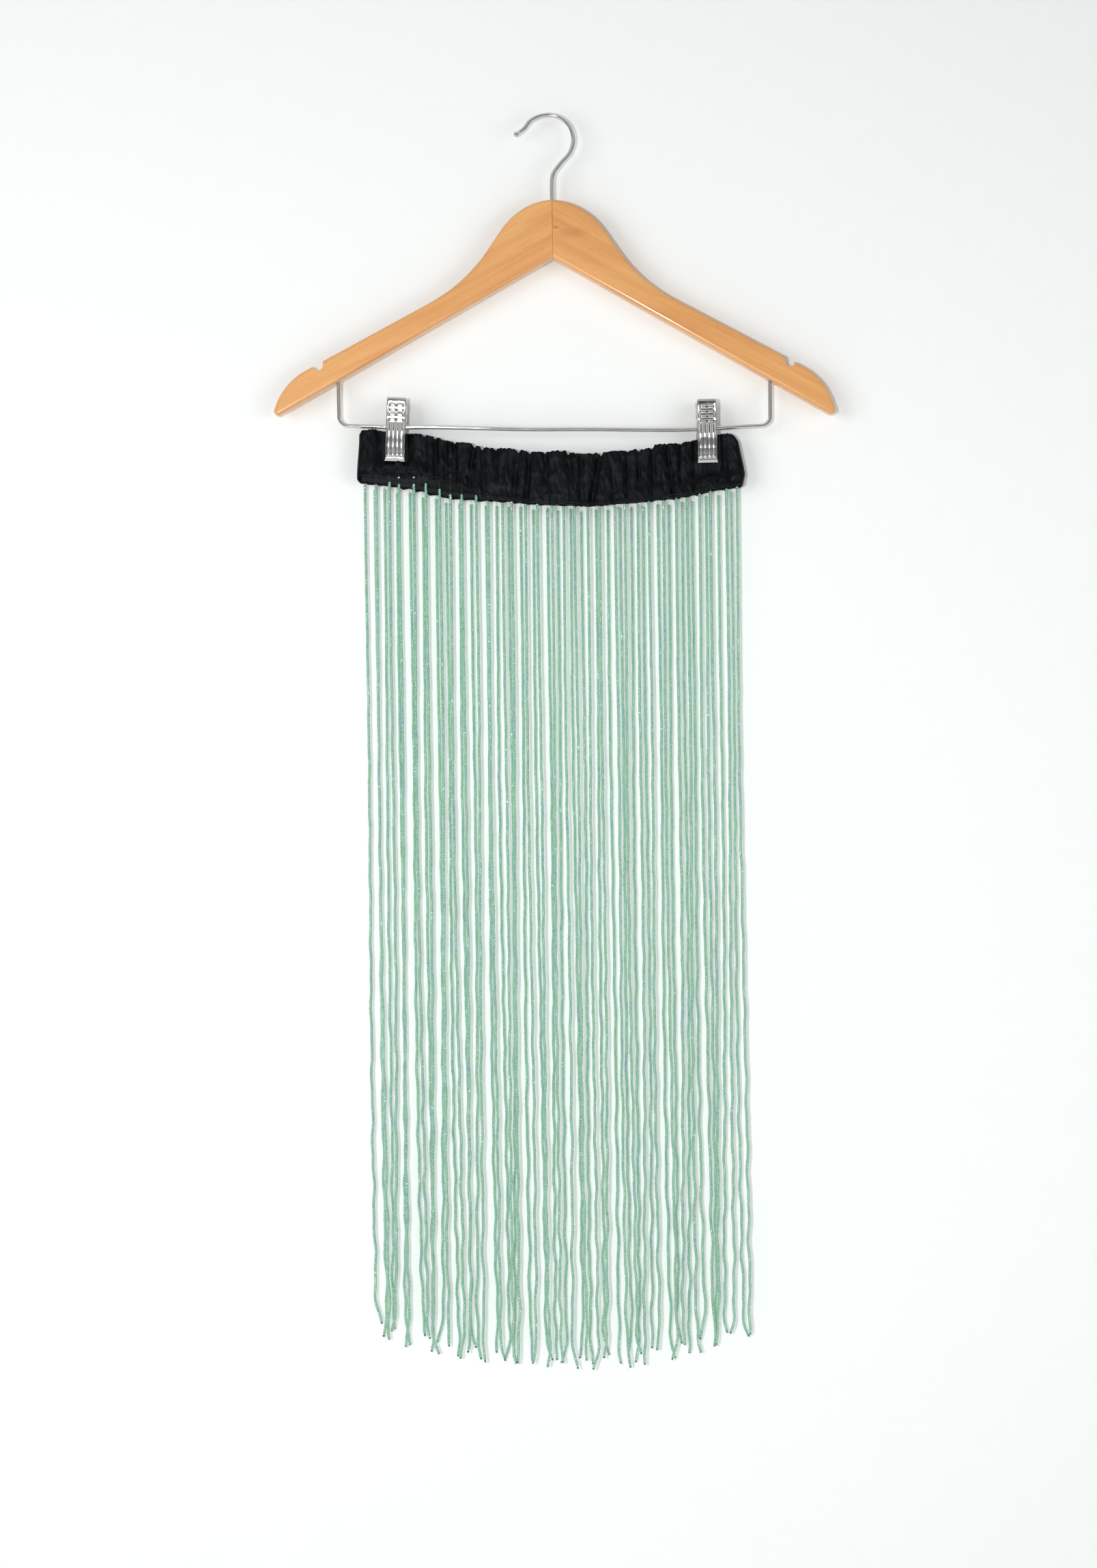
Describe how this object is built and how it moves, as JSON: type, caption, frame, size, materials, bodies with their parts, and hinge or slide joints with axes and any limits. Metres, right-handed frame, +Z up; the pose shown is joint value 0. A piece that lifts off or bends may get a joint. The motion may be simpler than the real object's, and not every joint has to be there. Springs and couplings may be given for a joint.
{
  "type": "fringe belt on a clip hanger",
  "caption": "Gathered black satin waistband, folded flat by two clips on a wooden hanger, with a long fringe of bead strands all round its hem.",
  "frame": {"origin": "the inside of the hook's top bend, where what holds the hanger bears on it", "axes": "+Z up, the belt's front faces -Y, +X to the right seen from the front"},
  "size_m": [0.4433, 0.022, 0.9957],
  "materials": {
    "wood": "clear lacquer",
    "chrome": "polished plate",
    "satin": "soft sheen",
    "beads": "rainbow lustre"
  },
  "bodies": {
    "root": {"arm_left": "wood", "arm_right": "wood", "hook": "chrome", "bar": "chrome", "clip_left_front": "chrome", "clip_left_back": "chrome", "clip_left_spring": "chrome", "clip_right_front": "chrome", "clip_right_back": "chrome", "clip_right_spring": "chrome", "band_front": "satin", "band_back": "satin", "fringe_front": "beads", "fringe_back": "beads"}
  },
  "joints": []
}
